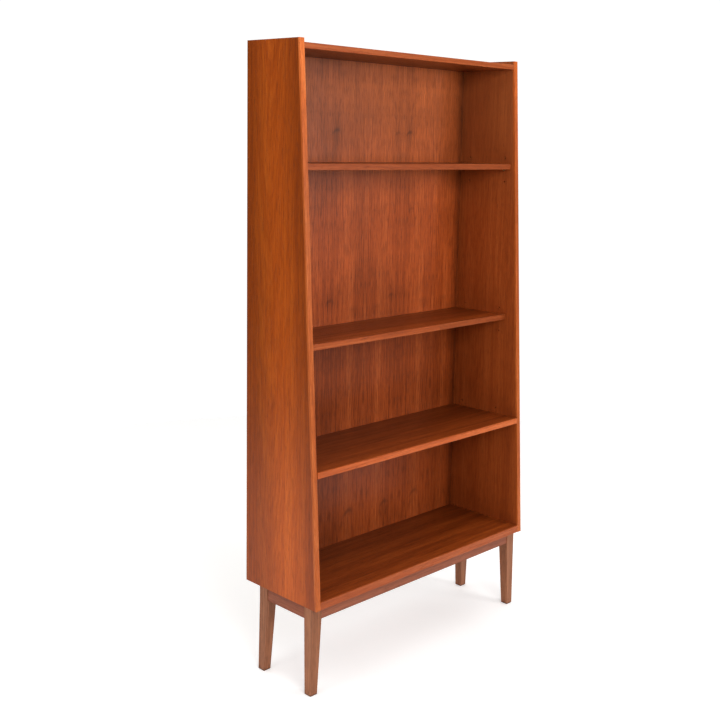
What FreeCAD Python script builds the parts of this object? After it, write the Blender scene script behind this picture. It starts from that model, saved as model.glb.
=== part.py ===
"""Open bookcase with three adjustable shelves on a low four-legged base.

Own frame in millimetres: +X to the right, +Y to the rear, +Z up. The origin is on the floor, at the
middle of the width and of the depth, so the case is symmetric about X = 0.
"""
import FreeCAD, Part
import os
import Sketcher

DOC = FreeCAD.newDocument("bookcase")
SHEET = DOC.addObject("Spreadsheet::Sheet", "Sizes")

# Driving dimensions: cell alias, value in millimetres, what it is.
SIZES = [
    ("case_width", 900, "over the outer faces of the sides"),
    ("case_depth", 294, "depth of a side at its foot"),
    ("top_depth", 206, "depth of a side at its head, less than at the foot: the front edge leans back"),
    ("leg_height", 252, "floor to the underside of the case"),
    ("rear_rise", 1494, "height of a side along its rear edge"),
    ("front_rise", 1491, "height of a side at its front edge, where the head has sloped down"),
    ("board", 16.5, "thickness of the sides and shelves"),
    ("lip_depth", 6, "solid wood lipping on the front edges"),
    ("lip_round", 0.8, "eased front arrises"),
    ("top_board", 15, "thickness of the top panel"),
    ("top_level", 1480.5, "upper face of the top panel above the underside of the case"),
    ("top_front", 206, "rear edge of the sides to the front of the top panel"),
    ("bottom_board", 21.5, "thickness of the bottom panel"),
    ("bottom_front", 293, "rear edge of the sides to the front of the bottom panel"),
    ("back_board", 4, "thickness of the back panel"),
    ("back_inset", 4, "rear edge of the sides to the rear face of the back panel"),
    ("rebate_width", 8, "width of the rebate that takes the back panel"),
    ("back_play", 0.5, "play between the back panel and each rebate"),
    ("shelf_play", 1, "play at each end and at the rear of a shelf"),
    ("short_shelf", 201, "depth of the upper and middle shelves with their lipping"),
    ("deep_shelf", 266, "depth of the lower shelf with its lipping"),
    ("pin_bore", 5.1, "diameter of the shelf pin holes"),
    ("pin_bore_depth", 9, "depth of the shelf pin holes"),
    ("pin_size", 5, "diameter of the shelf pins"),
    ("pin_length", 16, "length of the shelf pins"),
    ("pin_proud", 8, "length of a pin that stands out of the side"),
    ("pin_bevel", 0.6, "bevel on the ends of the pins"),
    ("pin_pitch", 36.5, "height between neighbouring pin holes"),
    ("pin_rear", 45, "rear edge of the sides to the rear column of pin holes"),
    ("pin_spread", 140, "distance between the two columns of pin holes"),
    ("pin_lower", 355.5, "pin centres of the lower shelf above the underside of the case"),
    ("pin_middle", 684, "pin centres of the middle shelf above the underside of the case"),
    ("pin_upper", 1158.5, "pin centres of the upper shelf above the underside of the case"),
    ("rest_gap", 0.05, "air between a pin and the shelf over it"),
    ("leg_inset", 7.5, "outer face of a side to the outer face of the leg under it"),
    ("leg_head", 33, "section of a leg beside the aprons"),
    ("leg_foot", 24, "section of a leg at the floor"),
    ("leg_splay", 4, "how far the foot stands out past the head"),
    ("leg_bevel", 1.5, "bevel round the foot"),
    ("front_leg", 271, "rear edge of the sides to the front face of the front legs"),
    ("rear_leg", 51, "rear edge of the sides to the rear face of the rear legs"),
    ("apron_height", 38.5, "height of the aprons under the case"),
    ("apron_board", 18, "thickness of the aprons"),
    ("apron_setback", 1.5, "outer face of an apron behind the faces of its legs"),
    ("tenon_board", 8, "thickness of the apron tenons"),
    ("tenon_height", 25, "height of the apron tenons"),
    ("tenon_length", 15, "length of the apron tenons"),
    ("dowel_size", 8, "diameter of the case dowels"),
    ("dowel_side", 9, "depth of a dowel in a side"),
    ("dowel_end", 21, "depth of a dowel in the end of a panel"),
    ("dowel_first", 45, "rear edge of the sides to the first dowel"),
    ("dowel_top_pitch", 70, "spacing of the dowels of the top panel"),
    ("dowel_bottom_pitch", 100, "spacing of the dowels of the bottom panel"),
    ("tack_size", 3, "shank diameter of the back panel screws"),
    ("tack_length", 12, "depth of the back panel screws past the back panel"),
    ("tack_head", 6, "head diameter of the back panel screws"),
    ("tack_dome", 1.8, "head height of the back panel screws"),
    ("tack_edge", 4, "side's inner face to the screws in its rebate"),
    ("tack_start", 60, "underside of the case to the lowest screws of the sides"),
    ("tack_rise", 338, "spacing of the screws up the sides"),
    ("tack_span", 280, "spacing of the screws along the top and bottom panels"),
    ("bolt_size", 4, "shank diameter of the base screws"),
    ("bolt_length", 13, "depth of the base screws in the bottom panel"),
    ("bolt_head", 8, "head diameter of the base screws"),
    ("bolt_dome", 3, "head height of the base screws"),
    ("bolt_sink", 18, "depth of the counterbore under a base screw"),
    ("bolt_well", 9, "diameter of that counterbore"),
    ("bolt_inset", 12, "outer face of an apron to its screws"),
    ("bolt_span", 560, "distance between the screws in the front and rear aprons"),
]
for row, (alias, value, meaning) in enumerate(SIZES, start=1):
    SHEET.set(f"A{row}", meaning)
    SHEET.set(f"B{row}", str(value))
    SHEET.setAlias(f"B{row}", alias)
DOC.recompute()

WIDE = "Sizes.case_width / 2"
DEEP = "Sizes.case_depth / 2"
BACK_FACE = "(Sizes.back_inset + Sizes.back_board)"
SPAN = "(Sizes.case_width - 2 * Sizes.board)"
SHELF_SPAN = f"({SPAN} - 2 * Sizes.shelf_play)"
SIDES = {"left": 1, "right": -1}
ENDS = {"front": 1, "rear": -1}
SHELVES = {
    "upper": ("Sizes.short_shelf", "Sizes.pin_upper"),
    "middle": ("Sizes.short_shelf", "Sizes.pin_middle"),
    "lower": ("Sizes.deep_shelf", "Sizes.pin_lower"),
}
SIDE_TACKS = 5
EDGE_TACKS = 3
DOWELS = 3
TURN_TO_X = FreeCAD.Rotation(FreeCAD.Vector(0, 1, 0), 90)
TURN_TO_FRONT = FreeCAD.Rotation(FreeCAD.Vector(1, 0, 0), 90)
UPRIGHT = FreeCAD.Rotation()
NODES = []


def size(alias):
    """A driving dimension as a plain number."""
    return float(SHEET.get(alias))


def place(item, across, along, up):
    """Bind an object's position to expressions of the sheet."""
    item.setExpression("Placement.Base.x", str(across))
    item.setExpression("Placement.Base.y", str(along))
    item.setExpression("Placement.Base.z", str(up))


def node(item, name):
    """Name a finished sub-part and put it on the list to be written."""
    item.Label = name
    NODES.append(item)
    return item


def new_body(name):
    """An empty PartDesign body."""
    return DOC.addObject("PartDesign::Body", name + "_body")


def origin_plane(body, role):
    """One of the three origin planes of a body."""
    return next(item for item in body.Origin.OriginFeatures if item.Role == role)


def new_sketch(body, role, offset="0"):
    """A sketch parallel to an origin plane of its body, moved along that plane's normal."""
    sketch = body.newObject("Sketcher::SketchObject", "Sketch")
    sketch.AttachmentSupport = (origin_plane(body, role), [""])
    sketch.MapMode = "FlatFace"
    sketch.setExpression("AttachmentOffset.Base.z", str(offset))
    return sketch


def pin_point(sketch, curve, end, across, up):
    """Fix one point of a curve at expressions measured from the sketch's origin."""
    for kind, expression in (("DistanceX", across), ("DistanceY", up)):
        index = sketch.addConstraint(Sketcher.Constraint(kind, -1, 1, curve, end, 1.0))
        sketch.setExpression(f"Constraints[{index}]", str(expression))


def outline(sketch, corners):
    """A closed outline of straight lines through the corners, given as pairs of expressions."""
    count = len(corners)
    rough = [FreeCAD.Vector(100, 0, 0), FreeCAD.Vector(100, 90, 0), FreeCAD.Vector(0, 90, 0),
             FreeCAD.Vector(0, 0, 0), FreeCAD.Vector(50, -20, 0), FreeCAD.Vector(70, -30, 0)][:count]
    for index in range(count):
        sketch.addGeometry(Part.LineSegment(rough[index], rough[(index + 1) % count]), False)
    for index in range(count):
        sketch.addConstraint(Sketcher.Constraint("Coincident", index, 2, (index + 1) % count, 1))
    for index, (across, up) in enumerate(corners):
        pin_point(sketch, index, 1, across, up)


def rectangle(sketch, low_across, high_across, low_up, high_up):
    """A rectangle between four expressions."""
    outline(sketch, [(low_across, low_up), (high_across, low_up),
                     (high_across, high_up), (low_across, high_up)])


def circle(sketch, across, up, diameter):
    """A circle whose centre and diameter are expressions."""
    start = FreeCAD.Vector(10, 10, 0)
    curve = sketch.addGeometry(Part.Circle(start, FreeCAD.Vector(0, 0, 1), 3), False)
    pin_point(sketch, curve, 3, across, up)
    index = sketch.addConstraint(Sketcher.Constraint("Diameter", curve, 6.0))
    sketch.setExpression(f"Constraints[{index}]", str(diameter))


def pad(body, sketch, length, backwards=False):
    """Raise a sketch into a solid, towards its normal or away from it."""
    feature = body.newObject("PartDesign::Pad", "Pad")
    feature.Profile = sketch
    feature.setExpression("Length", str(length))
    feature.Reversed = backwards
    DOC.recompute()
    return feature


def pocket(body, sketch, depth, backwards=False):
    """Sink a sketch into the solid and make sure that it removes wood."""
    before = body.Shape.Volume
    feature = body.newObject("PartDesign::Pocket", "Pocket")
    feature.Profile = sketch
    feature.setExpression("Length", str(depth))
    feature.Reversed = backwards
    DOC.recompute()
    if body.Shape.Volume > before - 1:
        raise RuntimeError(f"{body.Name}: a pocket cuts nothing")
    return feature


def repeat(body, feature, axis, length, count, backwards=False):
    """Repeat a feature at equal steps along an axis of its own sketch."""
    pattern = body.newObject("PartDesign::LinearPattern", "Pattern")
    pattern.Originals = [feature]
    pattern.Direction = (feature.Profile[0], [axis])
    pattern.Reversed = backwards
    pattern.setExpression("Length", str(length))
    pattern.Occurrences = count
    body.Tip = pattern
    DOC.recompute()
    return pattern


def mirror(body, features):
    """Copy features to the other side of the body's middle plane X = 0."""
    mirrored = body.newObject("PartDesign::Mirrored", "Mirror")
    mirrored.Originals = features
    mirrored.MirrorPlane = (origin_plane(body, "YZ_Plane"), [""])
    body.Tip = mirrored
    DOC.recompute()
    return mirrored


def edges_where(shape, test):
    """Names of the edges whose two ends and middle all pass a test."""
    names = []
    for index, edge in enumerate(shape.Edges, start=1):
        points = [vertex.Point for vertex in edge.Vertexes] + [edge.CenterOfMass]
        if all(test(point) for point in points):
            names.append(f"Edge{index}")
    return names


def ease(body, kind, dimension, alias, test):
    """Fillet or chamfer the edges that pass a test."""
    base = body.Tip
    feature = body.newObject("PartDesign::" + kind, kind)
    feature.Base = (base, edges_where(base.Shape, test))
    feature.setExpression(dimension, "Sizes." + alias)
    DOC.recompute()
    return feature


def head_level(inset):
    """Expression for the height of a side's sloping head at a distance in front of its rear edge."""
    fall = "(Sizes.rear_rise - Sizes.front_rise)"
    return f"Sizes.rear_rise - {fall} * ({inset}) / Sizes.top_depth"


def side_panel(name, hand):
    """A side: veneered board, its foot deeper than its head, bored and rebated on the inner face."""
    body = new_body(name)
    sketch = new_sketch(body, "YZ_Plane")
    core_head = "Sizes.top_depth - Sizes.lip_depth"
    outline(sketch, [
        ("0", "0"),
        ("0", "Sizes.rear_rise"),
        (f"-({core_head})", head_level(core_head)),
        ("-(Sizes.case_depth - Sizes.lip_depth)", "0"),
    ])
    pad(body, sketch, "Sizes.board", hand < 0)

    rebate = new_sketch(body, "XY_Plane")
    rectangle(rebate, f"{hand} * (Sizes.board - Sizes.rebate_width)", f"{hand} * (Sizes.board + 1)",
              f"-{BACK_FACE}", "1")
    pocket(body, rebate, "Sizes.rear_rise + 1", True)

    inner = f"{hand} * Sizes.board"
    for _, level in SHELVES.values():
        holes = new_sketch(body, "YZ_Plane", inner)
        for column in ("Sizes.pin_rear", "(Sizes.pin_rear + Sizes.pin_spread)"):
            circle(holes, f"-{column}", f"{level} - Sizes.pin_pitch", "Sizes.pin_bore")
        repeat(body, pocket(body, holes, "Sizes.pin_bore_depth", hand < 0),
               "V_Axis", "2 * Sizes.pin_pitch", 3)

    dowel_rows = (("Sizes.bottom_board / 2", "Sizes.dowel_bottom_pitch"),
                  ("Sizes.top_level - Sizes.top_board / 2", "Sizes.dowel_top_pitch"))
    for level, pitch in dowel_rows:
        holes = new_sketch(body, "YZ_Plane", inner)
        circle(holes, "-Sizes.dowel_first", level, "Sizes.dowel_size")
        repeat(body, pocket(body, holes, "Sizes.dowel_side", hand < 0),
               "H_Axis", f"{DOWELS - 1} * {pitch}", DOWELS, True)

    screws = new_sketch(body, "XZ_Plane", BACK_FACE)
    circle(screws, f"{hand} * (Sizes.board - Sizes.tack_edge)", "Sizes.tack_start", "Sizes.tack_size")
    repeat(body, pocket(body, screws, "Sizes.tack_length", True),
           "V_Axis", f"{SIDE_TACKS - 1} * Sizes.tack_rise", SIDE_TACKS)
    place(body, f"-{hand} * {WIDE}", DEEP, "Sizes.leg_height")
    return node(body, name)


def side_lipping(name, hand):
    """The solid strip on the leaning front edge of a side."""
    body = new_body(name)
    sketch = new_sketch(body, "YZ_Plane")
    core_head = "Sizes.top_depth - Sizes.lip_depth"
    outline(sketch, [
        ("-(Sizes.case_depth - Sizes.lip_depth)", "0"),
        (f"-({core_head})", head_level(core_head)),
        ("-Sizes.top_depth", "Sizes.front_rise"),
        ("-Sizes.case_depth", "0"),
    ])
    pad(body, sketch, "Sizes.board", hand < 0)
    lean = (size("case_depth") - size("top_depth")) / size("front_rise")
    ease(body, "Fillet", "Radius", "lip_round",
         lambda point: abs(point.y + size("case_depth") - lean * point.z) < 0.01
         and abs(abs(point.x - 0.5 * hand * size("board")) - 0.5 * size("board")) < 0.01)
    place(body, f"-{hand} * {WIDE}", DEEP, "Sizes.leg_height")
    return node(body, name)


def cross_panel(name, thickness, front, pitch, low):
    """The top or bottom panel, dowelled to the sides and screwed through the back panel."""
    body = new_body(name)
    sketch = new_sketch(body, "XY_Plane")
    rectangle(sketch, f"-{SPAN} / 2", f"{SPAN} / 2", f"-({front} - Sizes.lip_depth)", f"-{BACK_FACE}")
    pad(body, sketch, thickness)

    ends = new_sketch(body, "YZ_Plane", f"{SPAN} / 2")
    circle(ends, "-Sizes.dowel_first", f"{thickness} / 2", "Sizes.dowel_size")
    for row in range(1, DOWELS):
        circle(ends, f"-(Sizes.dowel_first + {row} * {pitch})", f"{thickness} / 2", "Sizes.dowel_size")
    mirror(body, [pocket(body, ends, "Sizes.dowel_end")])

    screws = new_sketch(body, "XZ_Plane", BACK_FACE)
    circle(screws, "-Sizes.tack_span", f"{thickness} / 2", "Sizes.tack_size")
    repeat(body, pocket(body, screws, "Sizes.tack_length", True),
           "H_Axis", f"{EDGE_TACKS - 1} * Sizes.tack_span", EDGE_TACKS)
    place(body, "0", DEEP, low)
    return body


def top_panel():
    """The top panel, set down between the heads of the sides."""
    low = "Sizes.leg_height + Sizes.top_level - Sizes.top_board"
    body = cross_panel("top_panel", "Sizes.top_board", "Sizes.top_front", "Sizes.dowel_top_pitch", low)
    return node(body, "top_panel")


def bolt_spots():
    """Expressions for the base screws: across, and in front of the rear edge of the sides."""
    behind_leg = "(Sizes.apron_setback + Sizes.bolt_inset)"
    front = f"(Sizes.front_leg - {behind_leg})"
    rear = f"(Sizes.rear_leg + {behind_leg})"
    side = f"({WIDE} - Sizes.leg_inset - {behind_leg})"
    spots = [(f"{hand} * Sizes.bolt_span / 2", along) for hand in (-1, 1) for along in (front, rear)]
    spots += [(f"{hand} * {side}", "(Sizes.front_leg + Sizes.rear_leg) / 2") for hand in (-1, 1)]
    return spots


def bottom_panel():
    """The bottom panel, also drilled from below for the screws that hold the base."""
    body = cross_panel("bottom_panel", "Sizes.bottom_board", "Sizes.bottom_front",
                       "Sizes.dowel_bottom_pitch", "Sizes.leg_height")
    holes = new_sketch(body, "XY_Plane")
    for across, inset in bolt_spots():
        circle(holes, across, f"-{inset}", "Sizes.bolt_size")
    pocket(body, holes, "Sizes.bolt_length", True)
    return node(body, "bottom_panel")


def straight_lipping(name, span, thickness, front, low, along=DEEP):
    """A solid strip on the front edge of a panel or shelf, its two long arrises eased."""
    body = new_body(name)
    sketch = new_sketch(body, "YZ_Plane", f"-({span}) / 2")
    rectangle(sketch, f"-({front})", f"-({front} - Sizes.lip_depth)", "0", thickness)
    pad(body, sketch, span)
    reach = min(vertex.Point.y for vertex in body.Shape.Vertexes)
    ease(body, "Fillet", "Radius", "lip_round", lambda point: abs(point.y - reach) < 0.01
         and min(abs(point.z), abs(point.z - body.Shape.BoundBox.ZMax)) < 0.01)
    place(body, "0", along, low)
    return node(body, name)


def back_panel():
    """The thin back, screwed into the rebates of the sides and to the top and bottom panels."""
    body = new_body("back_panel")
    sketch = new_sketch(body, "XZ_Plane", "Sizes.back_inset")
    half = f"({SPAN} / 2 + Sizes.rebate_width - Sizes.back_play)"
    rectangle(sketch, f"-{half}", half, "0", "Sizes.top_level")
    pad(body, sketch, "Sizes.back_board")

    edge = new_sketch(body, "XZ_Plane", "Sizes.back_inset")
    circle(edge, f"{SPAN} / 2 + Sizes.tack_edge", "Sizes.tack_start", "Sizes.tack_size")
    for row in range(1, SIDE_TACKS):
        circle(edge, f"{SPAN} / 2 + Sizes.tack_edge", f"Sizes.tack_start + {row} * Sizes.tack_rise",
               "Sizes.tack_size")
    mirror(body, [pocket(body, edge, "Sizes.back_board", True)])

    for level in ("Sizes.bottom_board / 2", "Sizes.top_level - Sizes.top_board / 2"):
        screws = new_sketch(body, "XZ_Plane", "Sizes.back_inset")
        circle(screws, "-Sizes.tack_span", level, "Sizes.tack_size")
        repeat(body, pocket(body, screws, "Sizes.back_board", True),
               "H_Axis", f"{EDGE_TACKS - 1} * Sizes.tack_span", EDGE_TACKS)
    place(body, "0", DEEP, "Sizes.leg_height")
    return node(body, "back_panel")


def shelf(name, depth, level):
    """A loose shelf board with its lipping, lying on four pins."""
    low = f"Sizes.leg_height + {level} + Sizes.pin_size / 2 + Sizes.rest_gap"
    along = f"{DEEP} - {BACK_FACE} - Sizes.shelf_play"
    body = new_body(name)
    sketch = new_sketch(body, "XY_Plane")
    rectangle(sketch, f"-{SHELF_SPAN} / 2", f"{SHELF_SPAN} / 2", f"-({depth} - Sizes.lip_depth)", "0")
    pad(body, sketch, "Sizes.board")
    place(body, "0", along, low)
    node(body, name)
    straight_lipping(name + "_lipping", SHELF_SPAN, "Sizes.board", depth, low, along)


def cylinder(name, diameter, height, rotation):
    """A cylinder primitive turned from +Z, its sizes bound to expressions."""
    item = DOC.addObject("Part::Cylinder", name)
    item.setExpression("Radius", f"{diameter} / 2")
    item.setExpression("Height", str(height))
    item.Placement = FreeCAD.Placement(FreeCAD.Vector(), rotation)
    return item


def group(name, members):
    """Identical small pieces, each a solid of its own, under one name."""
    compound = DOC.addObject("Part::Compound", name + "_group")
    compound.Links = members
    return node(compound, name)


def shelf_pins(name, hand, level):
    """The two pins that carry one end of a shelf, half of each in the side."""
    pins = []
    for column in ("Sizes.pin_rear", "(Sizes.pin_rear + Sizes.pin_spread)"):
        plain = cylinder("pin_blank", "Sizes.pin_size", "Sizes.pin_length", TURN_TO_X)
        face = f"({WIDE} - Sizes.board)"
        start = f"-{face} + Sizes.pin_proud - Sizes.pin_length" if hand > 0 else f"{face} - Sizes.pin_proud"
        place(plain, start, f"{DEEP} - {column}", f"Sizes.leg_height + {level}")
        DOC.recompute()
        pin = DOC.addObject("Part::Chamfer", "pin")
        pin.Base = plain
        bevel = size("pin_bevel")
        rims = [index for index, edge in enumerate(plain.Shape.Edges, start=1) if len(edge.Vertexes) == 1]
        pin.Edges = [(index, bevel, bevel) for index in rims]
        pins.append(pin)
    group(name, pins)


def apron(name, length, along_x, outward, across, along, bolts):
    """An apron with a tenon on each end, counterbored from below for the base screws.

    Its own X runs along its length, and its outer face is at Y = 0 with the wood behind it.
    """
    body = new_body(name)
    sketch = new_sketch(body, "XY_Plane")
    rectangle(sketch, f"-{length} / 2", f"{length} / 2", "0", "Sizes.apron_board")
    pad(body, sketch, "Sizes.apron_height")

    tenon = new_sketch(body, "YZ_Plane", f"{length} / 2")
    rectangle(tenon, "(Sizes.apron_board - Sizes.tenon_board) / 2",
              "(Sizes.apron_board + Sizes.tenon_board) / 2",
              "(Sizes.apron_height - Sizes.tenon_height) / 2",
              "(Sizes.apron_height + Sizes.tenon_height) / 2")
    mirror(body, [pad(body, tenon, "Sizes.tenon_length")])

    for diameter, depth in (("Sizes.bolt_well", "Sizes.bolt_sink"),
                            ("Sizes.bolt_size", "Sizes.apron_height")):
        holes = new_sketch(body, "XY_Plane")
        for spot in bolts:
            circle(holes, spot, "Sizes.bolt_inset", diameter)
        pocket(body, holes, depth, True)
    turn = 0 if along_x else 90
    turn += 180 if outward > 0 else 0
    body.Placement = FreeCAD.Placement(FreeCAD.Vector(), FreeCAD.Rotation(FreeCAD.Vector(0, 0, 1), turn))
    place(body, across, along, "Sizes.leg_height - Sizes.apron_height")
    return node(body, name)


def aprons():
    """The four aprons of the base."""
    clear_x = "(Sizes.case_width - 2 * Sizes.leg_inset - 2 * Sizes.leg_head)"
    clear_y = "(Sizes.front_leg - Sizes.rear_leg - 2 * Sizes.leg_head)"
    pair = ["-Sizes.bolt_span / 2", "Sizes.bolt_span / 2"]
    apron("front_apron", clear_x, True, -1, "0",
          f"{DEEP} - Sizes.front_leg + Sizes.apron_setback", pair)
    apron("rear_apron", clear_x, True, 1, "0",
          f"{DEEP} - Sizes.rear_leg - Sizes.apron_setback", pair)
    side = f"{WIDE} - Sizes.leg_inset - Sizes.apron_setback"
    middle = f"{DEEP} - (Sizes.front_leg + Sizes.rear_leg) / 2"
    apron("left_apron", clear_y, False, 1, f"-({side})", middle, ["0"])
    apron("right_apron", clear_y, False, -1, side, middle, ["0"])


def leg(name, hand, end):
    """A leg: straight beside the aprons, then tapered on its inner faces down to the foot.

    Its outer corner at the head is at X = 0 and Y = 0, and its wood lies inwards from there.
    """
    body = new_body(name)
    shoulder = "(Sizes.leg_height - Sizes.apron_height)"
    profile = new_sketch(body, "XZ_Plane")
    outline(profile, [
        ("0", "Sizes.leg_height"),
        ("0", shoulder),
        (f"-{hand} * Sizes.leg_splay", "0"),
        (f"{hand} * (Sizes.leg_foot - Sizes.leg_splay)", "0"),
        (f"{hand} * Sizes.leg_head", shoulder),
        (f"{hand} * Sizes.leg_head", "Sizes.leg_height"),
    ])
    pad(body, profile, "Sizes.leg_head", end > 0)

    taper = new_sketch(body, "YZ_Plane", f"-{hand} * (Sizes.leg_splay + 1)")
    outline(taper, [
        (f"{end} * Sizes.leg_head", shoulder),
        (f"{end} * Sizes.leg_foot", "0"),
        (f"{end} * Sizes.leg_head", "0"),
    ])
    pocket(body, taper, "Sizes.leg_head + Sizes.leg_splay + 2", hand > 0)

    centre = "(Sizes.apron_setback + Sizes.apron_board / 2)"
    level = "(Sizes.leg_height - Sizes.apron_height / 2)"
    low = f"{level} - Sizes.tenon_height / 2"
    high = f"{level} + Sizes.tenon_height / 2"
    near = f"({centre} - Sizes.tenon_board / 2)"
    far = f"({centre} + Sizes.tenon_board / 2)"
    along_width = new_sketch(body, "YZ_Plane", f"{hand} * Sizes.leg_head")
    rectangle(along_width, f"{end} * {near}", f"{end} * {far}", low, high)
    pocket(body, along_width, "Sizes.tenon_length", hand < 0)
    along_depth = new_sketch(body, "XZ_Plane", f"-{end} * Sizes.leg_head")
    rectangle(along_depth, f"{hand} * {near}", f"{hand} * {far}", low, high)
    pocket(body, along_depth, "Sizes.tenon_length", end > 0)
    ease(body, "Chamfer", "Size", "leg_bevel", lambda point: abs(point.z) < 0.01)
    inset = "Sizes.front_leg" if end > 0 else "Sizes.rear_leg"
    place(body, f"-{hand} * ({WIDE} - Sizes.leg_inset)", f"{DEEP} - {inset}", "0")
    return node(body, name)


def headed_screw(name, shank, length, head, dome, rotation, spot):
    """A plain screw: a shank and a flat round head, its tip pointing along the turned +Z."""
    stem = cylinder(name + "_shank", shank, length, rotation)
    cap = cylinder(name + "_cap", head, dome, rotation)
    place(stem, *spot)
    drop = rotation.multVec(FreeCAD.Vector(0, 0, -1))
    place(cap, *(f"{value} + ({round(step)}) * {dome}" for value, step in zip(spot, drop)))
    screw = DOC.addObject("Part::Fuse", name)
    screw.Base = stem
    screw.Tool = cap
    return screw


def back_panel_screws():
    """Round-headed screws that hold the back panel, their heads on its rear face."""
    edge = f"({SPAN} / 2 + Sizes.tack_edge)"
    spots = [(f"{hand} * {edge}", f"Sizes.tack_start + {row} * Sizes.tack_rise")
             for hand in (-1, 1) for row in range(SIDE_TACKS)]
    spots += [(f"{step} * Sizes.tack_span", level)
              for level in ("Sizes.bottom_board / 2", "Sizes.top_level - Sizes.top_board / 2")
              for step in (-1, 0, 1)]
    group("back_panel_screws", [
        headed_screw("tack", "Sizes.tack_size", "Sizes.back_board + Sizes.tack_length",
                     "Sizes.tack_head", "Sizes.tack_dome", TURN_TO_FRONT,
                     (across, f"{DEEP} - Sizes.back_inset", f"Sizes.leg_height + {level}"))
        for across, level in spots])


def base_screws():
    """Screws up through the aprons into the bottom panel, their heads sunk in counterbores."""
    low = "Sizes.leg_height - Sizes.apron_height + Sizes.bolt_sink"
    group("base_screws", [
        headed_screw("bolt", "Sizes.bolt_size", "Sizes.apron_height - Sizes.bolt_sink + Sizes.bolt_length",
                     "Sizes.bolt_head", "Sizes.bolt_dome", UPRIGHT,
                     (across, f"{DEEP} - {inset}", low))
        for across, inset in bolt_spots()])


def case_dowels():
    """Dowels between the sides and the ends of the top and bottom panels."""
    rows = (("Sizes.bottom_board / 2", "Sizes.dowel_bottom_pitch"),
            ("Sizes.top_level - Sizes.top_board / 2", "Sizes.dowel_top_pitch"))
    dowels = []
    for level, pitch in rows:
        for hand in SIDES.values():
            for row in range(DOWELS):
                dowel = cylinder("dowel", "Sizes.dowel_size", "Sizes.dowel_side + Sizes.dowel_end", TURN_TO_X)
                buried = "Sizes.dowel_side" if hand > 0 else "Sizes.dowel_end"
                place(dowel, f"-{hand} * {SPAN} / 2 - {buried}",
                      f"{DEEP} - Sizes.dowel_first - {row} * {pitch}", f"Sizes.leg_height + {level}")
                dowels.append(dowel)
    group("case_dowels", dowels)


def check_model():
    """Stop if any object failed to rebuild or any sub-part isn't a sound solid."""
    for item in DOC.Objects:
        if "Invalid" in item.State or "Error" in item.State:
            raise RuntimeError(f"{item.Name} did not rebuild: {item.State}")
    for item in NODES:
        shape = item.Shape
        if shape.isNull() or not shape.isValid() or not shape.Solids:
            raise RuntimeError(f"{item.Label} is not a sound solid")


def write_parts():
    """Write one STEP file for each sub-part."""
    os.makedirs("parts", exist_ok=True)
    for item in NODES:
        item.Shape.exportStep(f"parts/{item.Label}.step")
        box = item.Shape.BoundBox
        print(f"{item.Label:24s} solids {len(item.Shape.Solids):2d}"
              f"  volume {item.Shape.Volume / 1000:9.2f} cm3"
              f"  X {box.XMin:8.2f} {box.XMax:8.2f}  Y {box.YMin:8.2f} {box.YMax:8.2f}"
              f"  Z {box.ZMin:8.2f} {box.ZMax:8.2f}")


def main():
    """Build every sub-part, check them and write them out."""
    for side, hand in SIDES.items():
        side_panel(f"{side}_side_panel", hand)
        side_lipping(f"{side}_side_lipping", hand)
    top_panel()
    straight_lipping("top_lipping", SPAN, "Sizes.top_board", "Sizes.top_front",
                     "Sizes.leg_height + Sizes.top_level - Sizes.top_board")
    bottom_panel()
    straight_lipping("bottom_lipping", SPAN, "Sizes.bottom_board", "Sizes.bottom_front",
                     "Sizes.leg_height")
    back_panel()
    for name, (depth, level) in SHELVES.items():
        shelf(f"{name}_shelf", depth, level)
        for side, hand in SIDES.items():
            shelf_pins(f"{name}_shelf_{side}_pins", hand, level)
    aprons()
    for end_name, end in ENDS.items():
        for side, hand in SIDES.items():
            leg(f"{end_name}_{side}_leg", hand, end)
    base_screws()
    case_dowels()
    back_panel_screws()
    DOC.recompute()
    check_model()
    write_parts()


main()
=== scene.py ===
import logging
import math
from dataclasses import dataclass
from enum import Enum
from typing import Any, Mapping, Sequence, Union

import bmesh
import bpy
from mathutils import Matrix, Vector


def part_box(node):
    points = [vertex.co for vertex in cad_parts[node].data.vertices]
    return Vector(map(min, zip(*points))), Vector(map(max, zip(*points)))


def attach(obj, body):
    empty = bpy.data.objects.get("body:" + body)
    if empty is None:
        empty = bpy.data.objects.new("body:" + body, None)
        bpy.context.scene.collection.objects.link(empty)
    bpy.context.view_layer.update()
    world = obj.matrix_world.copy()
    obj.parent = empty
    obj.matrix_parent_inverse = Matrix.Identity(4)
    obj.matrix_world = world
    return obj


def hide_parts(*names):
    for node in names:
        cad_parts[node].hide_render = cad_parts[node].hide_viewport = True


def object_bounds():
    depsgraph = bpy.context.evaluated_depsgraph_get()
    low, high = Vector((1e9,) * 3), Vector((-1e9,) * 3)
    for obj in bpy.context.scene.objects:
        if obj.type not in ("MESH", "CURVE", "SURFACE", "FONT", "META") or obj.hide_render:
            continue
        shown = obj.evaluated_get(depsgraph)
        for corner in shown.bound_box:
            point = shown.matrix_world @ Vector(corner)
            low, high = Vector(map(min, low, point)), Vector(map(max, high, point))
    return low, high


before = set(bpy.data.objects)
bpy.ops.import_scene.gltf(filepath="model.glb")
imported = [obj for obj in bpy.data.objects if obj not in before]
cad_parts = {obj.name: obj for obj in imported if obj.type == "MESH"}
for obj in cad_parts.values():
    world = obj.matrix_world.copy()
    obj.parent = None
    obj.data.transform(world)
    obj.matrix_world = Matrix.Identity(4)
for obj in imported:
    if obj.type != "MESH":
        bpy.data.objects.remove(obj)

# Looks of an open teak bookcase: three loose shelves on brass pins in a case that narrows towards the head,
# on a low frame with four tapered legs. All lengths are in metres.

CAD_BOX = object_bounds()
LOG = logging.getLogger("bookcase")

Colour = tuple[float, float, float]
Value = Union["Signal", float]
Triple = tuple[Value, Value, Value]


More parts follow.
